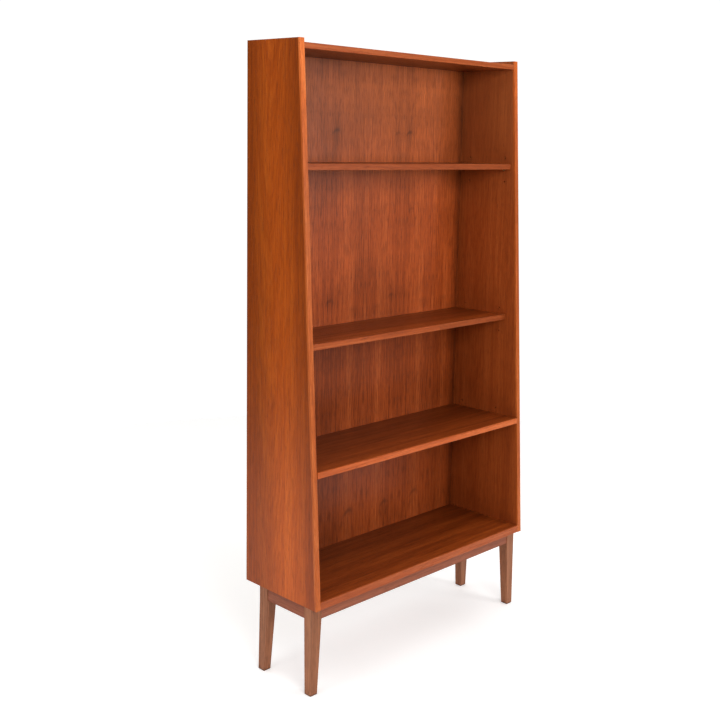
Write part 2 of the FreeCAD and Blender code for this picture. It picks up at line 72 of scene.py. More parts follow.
class Axis(Enum):
    """An axis of the bookcase's own frame."""

    X = 0
    Y = 1
    Z = 2


class Side(Enum):
    """A side of the case, seen from the front."""

    LEFT = "left"
    RIGHT = "right"


class Level(Enum):
    """One of the loose shelves."""

    UPPER = "upper"
    MIDDLE = "middle"
    LOWER = "lower"


# ---------------------------------------------------------------- shader building


@dataclass(frozen=True)
class Signal:
    """A number that varies over a surface, for use in expressions."""

    shading: "Shading"
    socket: bpy.types.NodeSocket

    def __add__(self, other: Value) -> "Signal":
        """Sum."""
        return self.shading.math("ADD", self, other)

    def __radd__(self, other: Value) -> "Signal":
        """Sum with the signal on the right."""
        return self.shading.math("ADD", other, self)

    def __sub__(self, other: Value) -> "Signal":
        """Difference."""
        return self.shading.math("SUBTRACT", self, other)

    def __rsub__(self, other: Value) -> "Signal":
        """Difference with the signal on the right."""
        return self.shading.math("SUBTRACT", other, self)

    def __mul__(self, other: Value) -> "Signal":
        """Product."""
        return self.shading.math("MULTIPLY", self, other)

    def __rmul__(self, other: Value) -> "Signal":
        """Product with the signal on the right."""
        return self.shading.math("MULTIPLY", other, self)

    def __truediv__(self, other: Value) -> "Signal":
        """Quotient."""
        return self.shading.math("DIVIDE", self, other)

    def __rtruediv__(self, other: Value) -> "Signal":
        """Quotient with the signal on the right."""
        return self.shading.math("DIVIDE", other, self)

    def __neg__(self) -> "Signal":
        """The signal with its sign turned."""
        return self.shading.math("MULTIPLY", self, -1.0)

    def __abs__(self) -> "Signal":
        """The signal without its sign."""
        return self.shading.math("ABSOLUTE", self)


class Shading:
    """The node tree of one material while it is being built."""

    def __init__(self, name: str) -> None:
        """Starts an empty material.

        Args:
            name: the material's name.
        """
        self.material = bpy.data.materials.new(name)
        self.material.use_nodes = True
        self.tree = self.material.node_tree
        self.tree.nodes.clear()

    def make(self, kind: str, settings: Mapping[str, Any] | None = None,
             sockets: Mapping[Union[str, int], Any] | None = None) -> bpy.types.Node:
        """Adds a node, sets it up, then fills its sockets.

        Args:
            kind: the node's type.
            settings: properties of the node; "stops" holds the stops of a colour ramp.
            sockets: values or links by socket name or number.

        Returns:
            The new node.
        """
        node = self.tree.nodes.new(kind)
        for key, value in (settings or {}).items():
            if key == "stops":
                self._set_stops(node.color_ramp, value)
            else:
                setattr(node, key, value)
        for key, value in (sockets or {}).items():
            source = value.socket if isinstance(value, Signal) else value
            if isinstance(source, bpy.types.NodeSocket):
                self.tree.links.new(source, node.inputs[key])
            else:
                node.inputs[key].default_value = source
        return node

    @staticmethod
    def _set_stops(ramp: bpy.types.ColorRamp, stops: Sequence[tuple[float, Colour]]) -> None:
        """Replaces the stops of a colour ramp.

        Args:
            ramp: the ramp.
            stops: place and colour of each stop, lowest first.
        """
        while len(ramp.elements) > 1:
            ramp.elements.remove(ramp.elements[-1])
        for number, (place, colour) in enumerate(stops):
            element = ramp.elements[0] if number == 0 else ramp.elements.new(place)
            element.position = place
            element.color = (*colour, 1.0)

    def math(self, operation: str, *values: Value) -> Signal:
        """A Math node on one, two or three values."""
        node = self.make("ShaderNodeMath", {"operation": operation}, dict(enumerate(values)))
        return Signal(self, node.outputs[0])

    def place(self) -> tuple[Signal, Signal, Signal]:
        """Where a point lies in the bookcase's own frame, moving with its piece."""
        spot = self.make("ShaderNodeTexCoord").outputs["Object"]
        parts = self.make("ShaderNodeSeparateXYZ", sockets={0: spot}).outputs
        return Signal(self, parts[0]), Signal(self, parts[1]), Signal(self, parts[2])

    def vector(self, at: Triple) -> bpy.types.NodeSocket:
        """Three values joined to a vector."""
        return self.make("ShaderNodeCombineXYZ", sockets=dict(enumerate(at))).outputs[0]

    def noise(self, at: Triple, detail: float = 2.0, roughness: float = 0.5) -> Signal:
        """Smooth noise around one half.

        Args:
            at: where it is read, with one unit for each grain of the noise.
            detail: how many finer layers are added.
            roughness: how strong each finer layer is.

        Returns:
            The noise, from about 0.2 to 0.8.
        """
        node = self.make("ShaderNodeTexNoise", {"noise_dimensions": "3D"},
                         {"Vector": self.vector(at), "Scale": 1.0, "Detail": detail, "Roughness": roughness})
        return Signal(self, node.outputs[0])

    def step(self, value: Signal, low: float, high: float) -> Signal:
        """A soft step from 0 at low to 1 at high; high may be the smaller one."""
        first, last = (low, high) if low < high else (high, low)
        node = self.make("ShaderNodeMapRange", {"interpolation_type": "SMOOTHSTEP", "clamp": True},
                         {"Value": value, "From Min": first, "From Max": last})
        rising = Signal(self, node.outputs[0])
        return rising if low < high else 1.0 - rising

    def bell(self, value: Signal, centre: float, width: float) -> Signal:
        """1 at the centre, falling softly to 0 at a width to either side."""
        return self.step(abs(value - centre), width, 0.0)

    def ramp(self, value: Signal, stops: Sequence[tuple[float, Colour]]) -> bpy.types.NodeSocket:
        """The colour that a ramp gives for a value."""
        return self.make("ShaderNodeValToRGB", {"stops": stops}, {0: value}).outputs["Color"]

    def mix(self, factor: Value, first: Any, second: Any) -> bpy.types.NodeSocket:
        """Two colours mixed.

        Args:
            factor: share of the second colour.
            first: colour or socket.
            second: colour or socket.

        Returns:
            The mixed colour's socket.
        """
        factor_in, first_in, second_in, colour_out = 0, 6, 7, 2
        sockets = {factor_in: factor}
        for key, colour in ((first_in, first), (second_in, second)):
            sockets[key] = (*colour, 1.0) if isinstance(colour, tuple) else colour
        settings = {"data_type": "RGBA", "blend_type": "MIX", "clamp_factor": True}
        return self.make("ShaderNodeMix", settings, sockets).outputs[colour_out]

    def shade(self, colour: bpy.types.NodeSocket, strength: Value) -> bpy.types.NodeSocket:
        """A colour made lighter or darker by a number."""
        sockets = {"Vector": colour, "Scale": strength}
        return self.make("ShaderNodeVectorMath", {"operation": "SCALE"}, sockets).outputs[0]

    def relief(self, height: Signal, distance: float) -> bpy.types.NodeSocket:
        """A normal that follows a height given in units of the distance."""
        sockets = {"Height": height, "Distance": distance, "Strength": 1.0}
        return self.make("ShaderNodeBump", sockets=sockets).outputs[0]

    def finish(self, colour: Any, roughness: Value, normal: bpy.types.NodeSocket | None = None,
               constants: Mapping[str, Any] | None = None) -> bpy.types.Material:
        """Ends the tree in a surface.

        Args:
            colour: base colour, as a socket or a plain colour.
            roughness: roughness of the surface.
            normal: normal from a relief.
            constants: settings that are the same all over the surface.

        Returns:
            The finished material.
        """
        sockets: dict[Union[str, int], Any] = {"Roughness": roughness}
        sockets["Base Color"] = (*colour, 1.0) if isinstance(colour, tuple) else colour
        if normal is not None:
            sockets["Normal"] = normal
        sockets.update(constants or {})
        surface = self.make("ShaderNodeBsdfPrincipled", None, sockets)
        self.make("ShaderNodeOutputMaterial", None, {"Surface": surface.outputs[0]})
        return self.material


# ---------------------------------------------------------------- finishes


@dataclass(frozen=True)
class Grain:
    """How wood lies in a piece."""

    along: Axis
    across: Axis
    seed: float
    solid: bool = False

    def read(self, place: Triple) -> Triple:
        """Sorts a place into across, along and through the board."""
        through = next(axis for axis in Axis if axis not in (self.along, self.across))
        return place[self.across.value], place[self.along.value], place[through.value]


@dataclass(frozen=True)
class Figure:
    """The figure of teak as signals from 0 to 1, with how far it wanders to the side."""

    wander: Signal
    broad: Signal
    growth: Signal
    lines: Signal
    fibre: Signal
    flecks: Signal
    pores: Signal


def teak_figure(shading: Shading, spot: Triple, grain: Grain) -> Figure:
    """Draws teak's figure.

    Args:
        shading: the material's tree.
        spot: place across, along and through the board.
        grain: how the wood lies.

    Returns:
        The figure's signals.
    """
    # Each noise is read at its grains per metre across, along and through the board.
    across, along, through = spot
    seed = grain.seed
    deep = through if grain.solid else through * 0.3
    wander = shading.noise((across * 3.0 + seed, along * 0.8 + seed, deep * 3.0), 2.0)
    bent = across + (wander - 0.5) * (0.012 if grain.solid else 0.05)
    broad = shading.step(shading.noise((bent * 14.0 + seed, along * 0.5, deep * 14.0 + seed), 2.0), 0.3, 0.7)
    growth = shading.step(
        shading.noise((bent * 75.0 + seed, along * 1.1 + seed, deep * 75.0), 3.0, 0.6), 0.28, 0.72)
    lines = shading.step(
        shading.noise((bent * 330.0, along * 6.5 + seed, deep * 330.0 + seed), 3.0, 0.6), 0.3, 0.7)
    fibre = shading.noise((bent * 1300.0 + seed, along * 24.0, deep * 1300.0), 2.0, 0.6)
    flecks = shading.step(
        shading.noise((bent * 330.0 + seed, along * 26.0, deep * 330.0), 2.0, 0.6), 0.46, 0.66)
    pores = shading.step(shading.noise((bent * 900.0, along * 42.0 + seed, deep * 900.0), 1.0), 0.6, 0.72)
    return Figure(wander, broad, growth, lines, fibre, flecks, pores)


@dataclass(frozen=True)
class Heart:
    """The arched middle of a flat-cut leaf of veneer.

    Attributes:
        centre: where it lies across the board.
        half_width: how far its arches reach to either side.
        spread: how fast the rings close up to the sides.
        rise: how fast they follow on each other along the board.
        strength: share of the arches in the growth.
        glow: how much lighter the middle is than the rest.
        lean: how far the lighter middle leans across for each metre down from the head.
    """

    centre: float
    half_width: float
    spread: float = 5200.0
    rise: float = 52.0
    strength: float = 0.75
    glow: float = 0.42
    lean: float = 0.055


@dataclass(frozen=True)
class Palette:
    """Colours of a wood, from its darkest lines to its palest streaks."""

    dark: Colour
    middle: Colour
    light: Colour

    def stops(self) -> list[tuple[float, Colour]]:
        """The palette as ramp stops."""
        return [(0.0, self.dark), (0.5, self.middle), (1.0, self.light)]


TEAK = Palette((0.190, 0.029, 0.0025), (0.305, 0.053, 0.0038), (0.410, 0.086, 0.0076))
# Teak of the right side's inner face, made lighter and bluer than TEAK as painted sheen from light thrown
# back onto it.
TEAK_INSIDE_SHEEN = Palette((0.190, 0.032, 0.0060), (0.310, 0.060, 0.0105), (0.410, 0.094, 0.0200))
TEAK_BOARD = Palette((0.045, 0.007, 0.0012), (0.175, 0.030, 0.0040), (0.360, 0.076, 0.0110))
TEAK_BACK = Palette((0.135, 0.022, 0.0046), (0.325, 0.058, 0.0100), (0.480, 0.108, 0.0250))
PLAIN_REAR = Palette((0.330, 0.190, 0.095), (0.440, 0.270, 0.145), (0.520, 0.340, 0.200))
TEAK_EDGE = Palette((0.240, 0.044, 0.0070), (0.400, 0.084, 0.0130), (0.590, 0.170, 0.0440))
SHELF_EDGE = Palette((0.170, 0.031, 0.0060), (0.315, 0.060, 0.0110), (0.440, 0.108, 0.0280))
TEAK_APRON = Palette((0.130, 0.034, 0.0150), (0.215, 0.058, 0.0260), (0.300, 0.092, 0.0430))
TEAK_FRAME = Palette((0.110, 0.036, 0.0150), (0.235, 0.082, 0.0350), (0.370, 0.146, 0.0680))
CORE = Palette((0.230, 0.130, 0.060), (0.420, 0.270, 0.140), (0.560, 0.400, 0.230))
BEECH = Palette((0.450, 0.260, 0.130), (0.600, 0.400, 0.220), (0.700, 0.520, 0.320))
# Tint of the painted sheen that pales the wood towards the head.
HEAD_SHEEN_TINT = (0.400, 0.145, 0.050)
CURL_STAIN = (0.030, 0.011, 0.006)
SEAM_STAIN = (0.035, 0.012, 0.006)
SCUFF_STAIN = (0.060, 0.026, 0.014)

# Heights, the height over which a tone changes, the share of the painted sheen at the head, the heights over
# which a painted highlight lightens the front strips, and depths of relief.
BOOKCASE_HEIGHT = CAD_BOX[1][2]
FADE_REACH = 0.45
HEAD_SHEEN_SHARE = 0.24
HEAD_HIGHLIGHT_HEIGHTS = (1.3, 1.7)
VENEER_RELIEF = 0.00016
SOLID_RELIEF = 0.00018


def paint_head_sheen(shading: Shading, colour: bpy.types.NodeSocket, height: Signal,
           start: float) -> bpy.types.NodeSocket:
    """Paints a pale, greyish sheen on the wood towards the head, where more light falls.

    Args:
        shading: the material's tree.
        colour: the wood's colour.
        height: height above the floor.
        start: height at which the painted sheen begins.

    Returns:
        The paler colour.
    """
    return shading.mix(shading.step(height, start, start + FADE_REACH) * HEAD_SHEEN_SHARE, colour, HEAD_SHEEN_TINT)


@dataclass(frozen=True)
class TeakVeneer:
    """Oiled teak veneer on a board, with a plain core where the board's edge is bare.

    Attributes:
        name: the material's name.
        grain: how the wood lies.
        palette: its colours.
        heart: the arched middle of the leaf, if it shows one.
        rear_shade: front and rear of the board, if painted shade darkens it towards the rear, where less
            light reaches.
        head_sheen_above: height at which a painted sheen begins to pale it towards the head.
        floor_bounce_below: height under which painted light from the pale floor makes it a little lighter.
        bare_edge: depth of the rear edge that shows the core.
        gloss: specular level.
    """

    name: str
    grain: Grain
    palette: Palette = TEAK
    heart: Heart | None = None
    rear_shade: tuple[float, float] | None = None
    head_sheen_above: float | None = None
    floor_bounce_below: float | None = None
    bare_edge: float | None = None
    gloss: float = 0.22

    def tone(self, shading: Shading, spot: Triple, figure: Figure) -> Signal:
        """Lightness of the figure.

        Args:
            shading: the material's tree.
            spot: place across, along and through the board.
            figure: the figure's signals.

        Returns:
            The tone, from 0 for the dark lines to 1 for the pale streaks.
        """
        growth: Signal = figure.growth
        if self.heart is not None:
            heart = self.heart
            offset = spot[0] - heart.centre + (figure.wander - 0.5) * 0.06
            phase = offset * offset * heart.spread - spot[1] * heart.rise + figure.wander * 9.0
            rings = shading.step(shading.noise((phase * 0.32, self.grain.seed, 0.0), 3.0, 0.65), 0.3, 0.68)
            inside = shading.step(abs(offset), heart.half_width, heart.half_width * 0.45) * heart.strength
            growth = growth * (1.0 - inside) + rings * inside
        return figure.broad * 0.24 + growth * 0.28 + figure.lines * 0.34 + figure.fibre * 0.18

    def make(self) -> bpy.types.Material:
        """Builds the material."""
        shading = Shading(self.name)
        place = shading.place()
        spot = self.grain.read(place)
        figure = teak_figure(shading, spot, self.grain)
        tone = self.tone(shading, spot, figure)
        colour = shading.ramp(tone, self.palette.stops())
        colour = shading.shade(colour, (1.0 - figure.pores * 0.34) * (1.06 - figure.flecks * 0.20))
        if self.heart is not None:
            middle = spot[0] + (BOOKCASE_HEIGHT - spot[1]) * self.heart.lean
            glow = shading.bell(middle, self.heart.centre, 0.12)
            colour = shading.shade(colour, 1.0 - self.heart.glow * 0.59 + glow * self.heart.glow)
        # Painted shade: darker towards the rear of the board, lighter towards its front.
        if self.rear_shade is not None:
            front_lit = shading.step(place[1] + (figure.wander - 0.5) * 0.05, self.rear_shade[1], self.rear_shade[0])
            colour = shading.shade(colour, 0.68 + front_lit * 0.50)
        # Painted sheen: paler and greyer towards the head, where more light falls.
        if self.head_sheen_above is not None:
            colour = paint_head_sheen(shading, colour, place[2], self.head_sheen_above)
        # Painted light: lighter low down, standing in for light and reflection from the pale floor.
        if self.floor_bounce_below is not None:
            low = shading.step(place[2], self.floor_bounce_below, self.floor_bounce_below - FADE_REACH)
            colour = shading.shade(colour, 1.0 + low * 0.15)
        roughness = 0.31 + figure.fibre * 0.16 + figure.pores * 0.16 - figure.growth * 0.04
        height = figure.lines * 0.25 + figure.fibre * 0.5 - figure.pores * 0.8
        if self.bare_edge is not None:
            colour, roughness = self.show_core(shading, place, colour, roughness)
        normal = shading.relief(height, VENEER_RELIEF)
        return shading.finish(colour, roughness, normal, {"Specular IOR Level": self.gloss})

    def show_core(self, shading: Shading, place: Triple, colour: bpy.types.NodeSocket,
                  roughness: Signal) -> tuple[bpy.types.NodeSocket, Signal]:
        """Shows the board's blockboard core on its bare rear edge.

        Args:
            shading: the material's tree.
            place: place in the bookcase's own frame.
            colour: the veneer's colour.
            roughness: the veneer's roughness.

        Returns:
            Colour and roughness with the core in them.
        """
        bare = shading.step(place[1], self.bare_edge - 0.0004, self.bare_edge - 0.0001)
        strands = shading.noise((place[0] * 420.0, place[1] * 300.0, place[2] * 9.0), 3.0, 0.6)
        core = shading.ramp(shading.step(strands, 0.3, 0.7), CORE.stops())
        return shading.mix(bare * 0.85, colour, core), roughness + bare * 0.25


@dataclass(frozen=True)
class BookMatchedBack:
    """Teak plywood whose face is laid in leaves that mirror each other, with a plain veneer behind.

    Attributes:
        name: the material's name.
        leaf: width of one leaf.
        face_end: depth at which the face ends and the plain veneer begins.
        curls: X, Z, size and darkness of each small curl in the grain.
        head_sheen_above: height at which a painted sheen begins to pale the wood.
        seed: seed of the figure.
        seam: half the width of the line between two leaves.
        corner: distances from the middle between which painted shade darkens the corners.
        upper: heights between which painted shade on the lower half gives way to the lighter upper half.
        gloss: specular level.
    """

    name: str
    leaf: float
    face_end: float
    curls: tuple[tuple[float, float, float, float], ...]
    head_sheen_above: float
    seed: float = 4.7
    seam: float = 0.0011
    corner: tuple[float, float] = (0.392, 0.432)
    upper: tuple[float, float] = (0.86, 1.02)
    gloss: float = 0.22

    def make(self) -> bpy.types.Material:
        """Builds the material."""
        shading = Shading(self.name)
        x, y, z = shading.place()
        leaf_x = shading.math("PINGPONG", x, self.leaf)
        push: Value = 0.0
        stain: Value = 0.0
        for at_x, at_z, size, depth in self.curls:
            away_x = (x - at_x) / size
            away_z = (z - at_z) / size
            near = shading.math("EXPONENT", -(away_x * away_x + away_z * away_z * 0.3))
            push = push + away_x * near * (size * 0.35)
            brow = away_z + away_x * away_x * 0.5 - away_x * 0.3 - 0.4
            arc = shading.math("EXPONENT", -(brow * brow * 9.0)) * shading.step(abs(away_x), 1.4, 0.3)
            tail = shading.math("EXPONENT", -(away_x * away_x * 30.0)) * shading.bell(away_z, -2.6, 3.0)
            stain = stain + (arc * 0.44 + near * 0.16 + tail * 0.16) * depth
        grain = Grain(Axis.Z, Axis.X, self.seed)
        figure = teak_figure(shading, (leaf_x - push, z, 0.0), grain)
        tone = figure.broad * 0.22 + figure.growth * 0.16 + figure.lines * 0.42 + figure.fibre * 0.26
        # Painted sheen: paler and greyer towards the head, where more light falls.
        colour = paint_head_sheen(shading, shading.ramp(tone, TEAK_BACK.stops()), z, self.head_sheen_above)
        seam = shading.step(leaf_x, self.seam, 0.0) + shading.step(leaf_x, self.leaf - self.seam, self.leaf)
        drift = shading.step(shading.noise((x * 5.0, self.seed, z * 1.3), 2.0), 0.3, 0.7)
        ripple = shading.step(shading.noise((x * 8.0, self.seed, z * 9.0), 3.0), 0.3, 0.7)
        corner = shading.step(abs(x), *self.corner)
        upper = shading.step(z, *self.upper)
        colour = shading.shade(colour, (1.0 - figure.pores * 0.40) * (1.10 - figure.flecks * 0.34))
        # The first factor is random tone; the second is painted light, lighter towards the right of the back
        # and darker towards the left.
        colour = shading.shade(colour, (0.80 + drift * 0.24 + ripple * 0.18) * (1.0 + x * 0.45))
        # Painted shade: darker in the corners by the sides and on the lower half of the back.
        colour = shading.shade(colour, (1.0 - corner * 0.50) * (0.80 + upper * 0.22))
        colour = shading.mix(stain, colour, CURL_STAIN)
        colour = shading.mix(seam * 0.35, colour, SEAM_STAIN)
        rear = shading.step(y, self.face_end, self.face_end + 0.0006)
        plain = shading.noise((x * 190.0, y * 10.0, z * 2.6), 4.0, 0.6)
        bands = shading.noise((x * 17.0, y * 10.0, z * 0.7), 2.0)
        behind = shading.ramp(shading.step(plain * 0.6 + bands * 0.4, 0.3, 0.7), PLAIN_REAR.stops())
        colour = shading.mix(rear, colour, behind)
        roughness = 0.28 + figure.fibre * 0.16 + figure.pores * 0.14 + rear * 0.2
        height = figure.lines * 0.25 + figure.fibre * 0.5 - figure.pores * 0.8 - seam * 0.5
        normal = shading.relief(height, VENEER_RELIEF)
        return shading.finish(colour, roughness, normal, {"Specular IOR Level": self.gloss})


@dataclass(frozen=True)
class SolidTeak:
    """Solid teak, as strips on the front edges or as the members of the base.

    Attributes:
        name: the material's name.
        grain: how the wood lies.
        palette: its colours.
        strength: lightness of the whole piece.
        head_highlight: how much a painted highlight lightens it at the head, where more light falls.
        scarf: place along and across the strip of a glued slanting joint, if it has one.
        scarf_slope: run of that joint along the strip for its rise across it.
        worn_below: height under which it is scuffed; when set, a painted contact shade also darkens the last
            few millimetres at the foot.
        gloss: specular level.
    """

    name: str
    grain: Grain
    palette: Palette
    strength: float = 1.0
    head_highlight: float = 0.0
    scarf: tuple[float, float] | None = None
    scarf_slope: float = 0.25
    worn_below: float | None = None
    gloss: float = 0.18

    def make(self) -> bpy.types.Material:
        """Builds the material."""
        shading = Shading(self.name)
        place = shading.place()
        across, along, through = self.grain.read(place)
        joint: Value = 0.0
        if self.scarf is not None:
            past = along - self.scarf[0] + (across - self.scarf[1]) * self.scarf_slope
            joint = shading.step(past, 0.0, 0.0008)
            glue = shading.bell(past, 0.0, 0.0012)
            across = across + joint * 0.6
        figure = teak_figure(shading, (across, along, through), self.grain)
        tone = figure.broad * 0.28 + figure.growth * 0.34 + figure.lines * 0.30 + figure.fibre * 0.18
        colour = shading.ramp(tone, self.palette.stops())
        flecked = (1.0 - figure.pores * 0.30) * (1.05 - figure.flecks * 0.16)
        colour = shading.shade(colour, flecked * self.strength)
        # Painted highlight: lighter towards the head, where more light falls.
        if self.head_highlight > 0.0:
            colour = shading.shade(colour, 1.0 + shading.step(place[2], *HEAD_HIGHLIGHT_HEIGHTS) * self.head_highlight)
        if self.scarf is not None:
            colour = shading.shade(colour, (1.0 - joint * 0.20) * (1.0 - glue * 0.45))
        roughness: Signal = 0.36 + figure.fibre * 0.18 + figure.pores * 0.12
        height = figure.lines * 0.25 + figure.fibre * 0.5 - figure.pores * 0.7
        if self.worn_below is not None:
            scuff = shading.step(place[2], self.worn_below, 0.0)
            scratches = shading.noise((place[0] * 160.0, place[1] * 160.0, place[2] * 90.0), 3.0)
            marks = shading.step(scratches, 0.52, 0.66)
            colour = shading.mix(scuff * marks * 0.5, colour, SCUFF_STAIN)
            # Painted contact shade: the last few millimetres at the foot are darkened.
            colour = shading.shade(colour, 1.0 - shading.step(place[2], 0.006, 0.002) * 0.55)
            roughness = roughness + scuff * marks * 0.2
            height = height - scuff * marks * 0.6
        normal = shading.relief(height, SOLID_RELIEF)
        return shading.finish(colour, roughness, normal, {"Specular IOR Level": self.gloss})


@dataclass(frozen=True)
class PlainBeech:
    """Unfinished beech with its short flecks."""

    name: str
    grain: Grain

    def make(self) -> bpy.types.Material:
        """Builds the material."""
        shading = Shading(self.name)
        across, along, through = self.grain.read(shading.place())
        rings = shading.noise((across * 260.0, along * 12.0, through * 260.0), 3.0)
        specks = shading.noise((across * 1500.0, along * 300.0, through * 1500.0), 1.0)
        flecks = shading.step(specks, 0.6, 0.72)
        colour = shading.ramp(shading.step(rings, 0.3, 0.7), BEECH.stops())
        colour = shading.shade(colour, 1.0 - flecks * 0.25)
        return shading.finish(colour, 0.62 + rings * 0.1, shading.relief(rings - flecks * 0.4, 0.0001))


@dataclass(frozen=True)
class WorkedMetal:
    """Metal with fine marks of the lathe, dulled in patches."""

    name: str
    bright: Colour
    dull: Colour
    turned_about: Axis
    roughness: float = 0.34
    relief: float = 0.00003

    def make(self) -> bpy.types.Material:
        """Builds the material."""
        shading = Shading(self.name)
        place = shading.place()
        along = place[self.turned_about.value]
        marks = shading.noise((along * 5200.0, 0.0, 0.0), 2.0)
        clouds = shading.noise((place[0] * 420.0, place[1] * 420.0, place[2] * 420.0), 3.0)
        patches = shading.step(clouds, 0.4, 0.68)
        colour = shading.mix(patches * 0.7, self.bright, self.dull)
        roughness = self.roughness + patches * 0.18 + marks * 0.08
        normal = shading.relief(marks - patches * 0.3, self.relief)
        return shading.finish(colour, roughness, normal, {"Metallic": 1.0})


PIN_BRASS = WorkedMetal("pin_brass", (0.40, 0.26, 0.11), (0.18, 0.12, 0.05), Axis.X)
ZINC_STEEL = WorkedMetal("zinc_steel", (0.62, 0.61, 0.58), (0.36, 0.35, 0.33), Axis.Z)


@dataclass(frozen=True)
class PaleFloor:
    """Matt pale floor with a faint unevenness, which glows a little to keep its shadows soft."""

    name: str = "pale_floor"
    colour: Colour = (0.93, 0.925, 0.915)
    clouded: Colour = (0.86, 0.855, 0.85)
    glow: float = 0.27

    def make(self) -> bpy.types.Material:
        """Builds the material."""
        shading = Shading(self.name)
        x, y, _ = shading.place()
        cloud = shading.noise((x * 0.9, y * 0.9, 0.0), 3.0)
        grit = shading.noise((x * 240.0, y * 240.0, 0.0), 2.0)
        colour = shading.mix(cloud * 0.10, self.colour, self.clouded)
        constants = {
            "Specular IOR Level": 0.2,
            "Emission Strength": self.glow,
            "Emission Color": (1.0, 1.0, 1.0, 1.0),
        }
        return shading.finish(colour, 0.55 + grit * 0.1, shading.relief(grit, 0.00005), constants)


# ---------------------------------------------------------------- shared shape work


def dress(node: str, material: bpy.types.Material) -> None:
    """Gives a CAD piece its material and reports it.

    Args:
        node: the piece's name.
        material: its finish.
    """
    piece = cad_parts[node]
    piece.data.materials.clear()
    piece.data.materials.append(material)
    LOG.info("%s: %s", node, material.name)


def islands(node: str) -> list[tuple[Vector, Vector]]:
    """The boxes of the separate solids in a CAD piece, ordered by place.

    Args:
        node: the piece's name.

    Returns:
        Lowest and highest corner of each solid.
    """
    shape = bmesh.new()
    shape.from_mesh(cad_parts[node].data)
    bmesh.ops.remove_doubles(shape, verts=shape.verts, dist=1e-6)
    left = set(shape.verts)
    boxes = []
    while left:
        group = [left.pop()]
        for vert in group:
            fresh = {edge.other_vert(vert) for edge in vert.link_edges} & left
            left -= fresh
            group.extend(fresh)
        corners = [vert.co for vert in group]
        low = Vector(min(corner[k] for corner in corners) for k in range(3))
        high = Vector(max(corner[k] for corner in corners) for k in range(3))
        boxes.append((low, high))
    shape.free()
    return sorted(boxes, key=lambda box: tuple(round(value, 5) for value in box[0]))


# In a cross recess the metal between the arms comes in to this share of the radius, and a corner of the ring
# belongs to an arm where the cosine of twice its angle is at least this large.
BETWEEN_ARMS_REACH = 0.34
ARM_COSINE = 0.85
SHARP_ANGLE = math.radians(35.0)


def lathe(shape: bmesh.types.BMesh, outline: Sequence[tuple[float, float]], centre: Vector,
          axis: Vector, steps: int, crossed: int = 0) -> None:
    """Turns an outline about an axis into a closed solid.

    Args:
        shape: mesh that takes the solid.
        outline: place along the axis and radius of each ring; the first and last radius are 0.
        centre: where the axis starts.
        axis: direction of the axis.
        steps: corners of each ring.
        crossed: how many of the rings before the last point have the plan of a cross.
    """
    turn = axis.normalized().to_track_quat("Z", "Y").to_matrix()
    rings = []
    for number, (along, radius) in enumerate(outline):
        count = 1 if radius == 0.0 else steps
        in_recess = len(outline) - 1 - crossed <= number < len(outline) - 1
        ring = []
        for k in range(count):
            angle = math.tau * k / steps
            between_arms = in_recess and abs(math.cos(2.0 * angle)) < ARM_COSINE
            reach = radius * (BETWEEN_ARMS_REACH if between_arms else 1.0)
            spot = Vector((reach * math.cos(angle), reach * math.sin(angle), along))
            ring.append(shape.verts.new(centre + turn @ spot))
        rings.append(ring)
    for lower, upper in zip(rings, rings[1:]):
        for k in range(steps):
            after = (k + 1) % steps
            loop = [lower[k % len(lower)], lower[after % len(lower)],
                    upper[after % len(upper)], upper[k % len(upper)]]
            shape.faces.new(list(dict.fromkeys(loop)))


def rounded(radius: float, start: float, end: float, turn: float, parts: int) -> list[tuple[float, float]]:
    """The outline of a pin with domed ends.

    Args:
        radius: radius of the pin.
        start: where it starts along its axis.
        end: where it ends.
        turn: length of each domed end.
        parts: corners of a domed end.

    Returns:
        Place and radius of each ring.
    """
    bend = [math.pi / 2 * k / parts for k in range(parts + 1)]
    head = [(start + turn * (1.0 - math.cos(a)), radius * math.sin(a)) for a in bend]
    head[0] = (start, 0.0)
    tail = [(end + start - along, ring) for along, ring in reversed(head)]
    return head + tail


def new_piece(name: str, shape: bmesh.types.BMesh, material: bpy.types.Material,
              body: str) -> bpy.types.Object:
    """Makes an object of a mesh and lets it ride on a body.

    Args:
        name: the piece's name.
        shape: its mesh, which is freed.
        material: its finish.
        body: the CAD body that it moves with.

    Returns:
        The new object.
    """
    bmesh.ops.recalc_face_normals(shape, faces=shape.faces)
    mesh = bpy.data.meshes.new(name)
    shape.to_mesh(mesh)
    shape.free()
    mesh.materials.append(material)
    mesh.shade_smooth()
    mesh.set_sharp_from_angle(angle=SHARP_ANGLE)
    piece = bpy.data.objects.new(name, mesh)
    bpy.context.scene.collection.objects.link(piece)
    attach(piece, body)
    LOG.info("%s: %s, on %s", name, material.name, body)
    return piece


# ---------------------------------------------------------------- sub-assemblies


